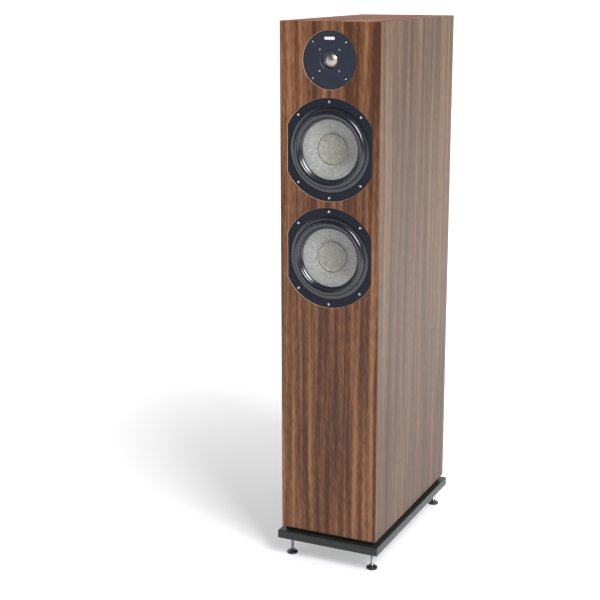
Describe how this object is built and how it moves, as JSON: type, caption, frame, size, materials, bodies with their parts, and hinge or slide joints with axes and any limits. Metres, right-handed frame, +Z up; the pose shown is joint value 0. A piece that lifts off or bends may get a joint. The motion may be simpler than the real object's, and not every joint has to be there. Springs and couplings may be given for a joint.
{
  "type": "floorstanding speaker",
  "caption": "Slim floorstanding loudspeaker: veneered cabinet with a dome tweeter over woven-cone woofers, on an overhanging plinth with levelling feet.",
  "frame": {"origin": "on the floor, under the middle of the plinth", "axes": "+Z up; the front with the drivers faces -Y; +X is to the right of someone facing the front"},
  "size_m": [0.202, 0.387, 1],
  "materials": {
    "walnut_veneer": "satin vertical-grain veneer over 18 mm board",
    "raw_board": "bare fibreboard",
    "black_ash": "black-stained, open-grain, satin",
    "painted_black": "matt black paint",
    "cast_black": "satin black powder coat on cast frame",
    "satin_black": "satin black",
    "gloss_black": "gloss black",
    "rubber": "smooth matt",
    "foam": "closed-cell foam strip",
    "woven_fibre": "woven glass fibre, resin-coated",
    "spider_cloth": "corrugated impregnated cloth",
    "copper": "enamelled copper wire",
    "steel": "bright zinc plate",
    "ferrite": "matt sintered ferrite",
    "dome_metal": "bright anodised",
    "gold": "gold-plated brass",
    "moulded": "fine-textured moulding",
    "knob_red": "translucent-look red cap",
    "knob_black": "black cap",
    "board_green": "solder-masked circuit board",
    "film_yellow": "wrapped film capacitor",
    "cement": "cement-filled ceramic case",
    "fleece": "lofted polyester fleece",
    "lead_black": "PVC-covered lead"
  },
  "bodies": {
    "enclosure": {"front_baffle": "walnut_veneer", "back_panel": "walnut_veneer", "left_side_panel": "walnut_veneer", "right_side_panel": "walnut_veneer", "top_panel": "walnut_veneer", "bottom_panel": "walnut_veneer", "upper_brace": "raw_board", "lower_brace": "raw_board", "plinth_board": "black_ash", "plinth_spacer": "painted_black", "upper_woofer_basket": "cast_black", "upper_woofer_gasket": "foam", "upper_woofer_surround": "rubber", "upper_woofer_spider": "spider_cloth", "upper_woofer_top_plate": "steel", "upper_woofer_magnet": "ferrite", "upper_woofer_yoke": "steel", "lower_woofer_basket": "cast_black", "lower_woofer_gasket": "foam", "lower_woofer_surround": "rubber", "lower_woofer_spider": "spider_cloth", "lower_woofer_top_plate": "steel", "lower_woofer_magnet": "ferrite", "lower_woofer_yoke": "steel", "tweeter_faceplate": "satin_black", "tweeter_surround": "rubber", "tweeter_top_plate": "steel", "tweeter_magnet": "ferrite", "tweeter_yoke": "steel", "port_tube": "moulded", "terminal_cup": "moulded", "positive_post": "gold", "negative_post": "gold", "crossover_board": "board_green", "crossover_inductor": "copper", "crossover_capacitor_1": "film_yellow", "crossover_capacitor_2": "film_yellow", "crossover_resistor": "cement", "wiring_loom": "lead_black", "damping_wadding": "fleece"},
    "upper_woofer_moving_parts": {"upper_woofer_cone": "woven_fibre", "upper_woofer_dust_cap": "woven_fibre", "upper_woofer_voice_coil": "copper"},
    "lower_woofer_moving_parts": {"lower_woofer_cone": "woven_fibre", "lower_woofer_dust_cap": "woven_fibre", "lower_woofer_voice_coil": "copper"},
    "tweeter_moving_parts": {"tweeter_dome": "dome_metal", "tweeter_voice_coil": "copper"},
    "foot_1_disc": {"foot_base_1": "gloss_black"},
    "foot_1_screw": {"foot_stud_1": "steel"},
    "foot_2_disc": {"foot_base_2": "gloss_black"},
    "foot_2_screw": {"foot_stud_2": "steel"},
    "foot_3_disc": {"foot_base_3": "gloss_black"},
    "foot_3_screw": {"foot_stud_3": "steel"},
    "foot_4_disc": {"foot_base_4": "gloss_black"},
    "foot_4_screw": {"foot_stud_4": "steel"},
    "positive_clamp_washer": {"positive_washer": "gold"},
    "positive_clamp_knob": {"positive_knob": "knob_red"},
    "negative_clamp_washer": {"negative_washer": "gold"},
    "negative_clamp_knob": {"negative_knob": "knob_black"}
  },
  "joints": [
    {"name": "upper_woofer_stroke", "type": "slide", "parent": "enclosure", "child": "upper_woofer_moving_parts", "axis": [0, -1, 0], "range_m": [-0.005, 0.005], "stiffness_N_per_m": 1200, "deforming": ["upper_woofer_surround", "upper_woofer_spider"]},
    {"name": "lower_woofer_stroke", "type": "slide", "parent": "enclosure", "child": "lower_woofer_moving_parts", "axis": [0, -1, 0], "range_m": [-0.005, 0.005], "stiffness_N_per_m": 1200, "deforming": ["lower_woofer_surround", "lower_woofer_spider"]},
    {"name": "tweeter_stroke", "type": "slide", "parent": "enclosure", "child": "tweeter_moving_parts", "axis": [0, -1, 0], "range_m": [-0.0005, 0.0005], "stiffness_N_per_m": 400, "deforming": ["tweeter_surround"]},
    {"name": "foot_1_height", "type": "slide", "parent": "enclosure", "child": "foot_1_disc", "axis": [0, 0, 1], "range_m": [0, 0.0075]},
    {"name": "foot_1_turn", "type": "hinge", "parent": "foot_1_disc", "child": "foot_1_screw", "pos_m": [-0.082, -0.1695, 0.03], "axis": [0, 0, 1], "range_deg": [0, 2160]},
    {"name": "foot_2_height", "type": "slide", "parent": "enclosure", "child": "foot_2_disc", "axis": [0, 0, 1], "range_m": [0, 0.0075]},
    {"name": "foot_2_turn", "type": "hinge", "parent": "foot_2_disc", "child": "foot_2_screw", "pos_m": [0.082, -0.1695, 0.03], "axis": [0, 0, 1], "range_deg": [0, 2160]},
    {"name": "foot_3_height", "type": "slide", "parent": "enclosure", "child": "foot_3_disc", "axis": [0, 0, 1], "range_m": [0, 0.0075]},
    {"name": "foot_3_turn", "type": "hinge", "parent": "foot_3_disc", "child": "foot_3_screw", "pos_m": [-0.082, 0.1695, 0.03], "axis": [0, 0, 1], "range_deg": [0, 2160]},
    {"name": "foot_4_height", "type": "slide", "parent": "enclosure", "child": "foot_4_disc", "axis": [0, 0, 1], "range_m": [0, 0.0075]},
    {"name": "foot_4_turn", "type": "hinge", "parent": "foot_4_disc", "child": "foot_4_screw", "pos_m": [0.082, 0.1695, 0.03], "axis": [0, 0, 1], "range_deg": [0, 2160]},
    {"name": "positive_clamp_travel", "type": "slide", "parent": "enclosure", "child": "positive_clamp_washer", "axis": [0, 1, 0], "range_m": [0, 0.005]},
    {"name": "positive_clamp_turn", "type": "hinge", "parent": "positive_clamp_washer", "child": "positive_clamp_knob", "pos_m": [0.013, 0.1775, 0.215], "axis": [0, 1, 0], "range_deg": [0, 1440]},
    {"name": "negative_clamp_travel", "type": "slide", "parent": "enclosure", "child": "negative_clamp_washer", "axis": [0, 1, 0], "range_m": [0, 0.005]},
    {"name": "negative_clamp_turn", "type": "hinge", "parent": "negative_clamp_washer", "child": "negative_clamp_knob", "pos_m": [-0.013, 0.1775, 0.215], "axis": [0, 1, 0], "range_deg": [0, 1440]}
  ],
  "couplings": [
    {"joint": "foot_1_turn", "follows": "foot_1_height", "rad_per_m": 5026.5},
    {"joint": "foot_2_turn", "follows": "foot_2_height", "rad_per_m": 5026.5},
    {"joint": "foot_3_turn", "follows": "foot_3_height", "rad_per_m": 5026.5},
    {"joint": "foot_4_turn", "follows": "foot_4_height", "rad_per_m": 5026.5},
    {"joint": "positive_clamp_turn", "follows": "positive_clamp_travel", "rad_per_m": 5026.5},
    {"joint": "negative_clamp_turn", "follows": "negative_clamp_travel", "rad_per_m": 5026.5}
  ]
}
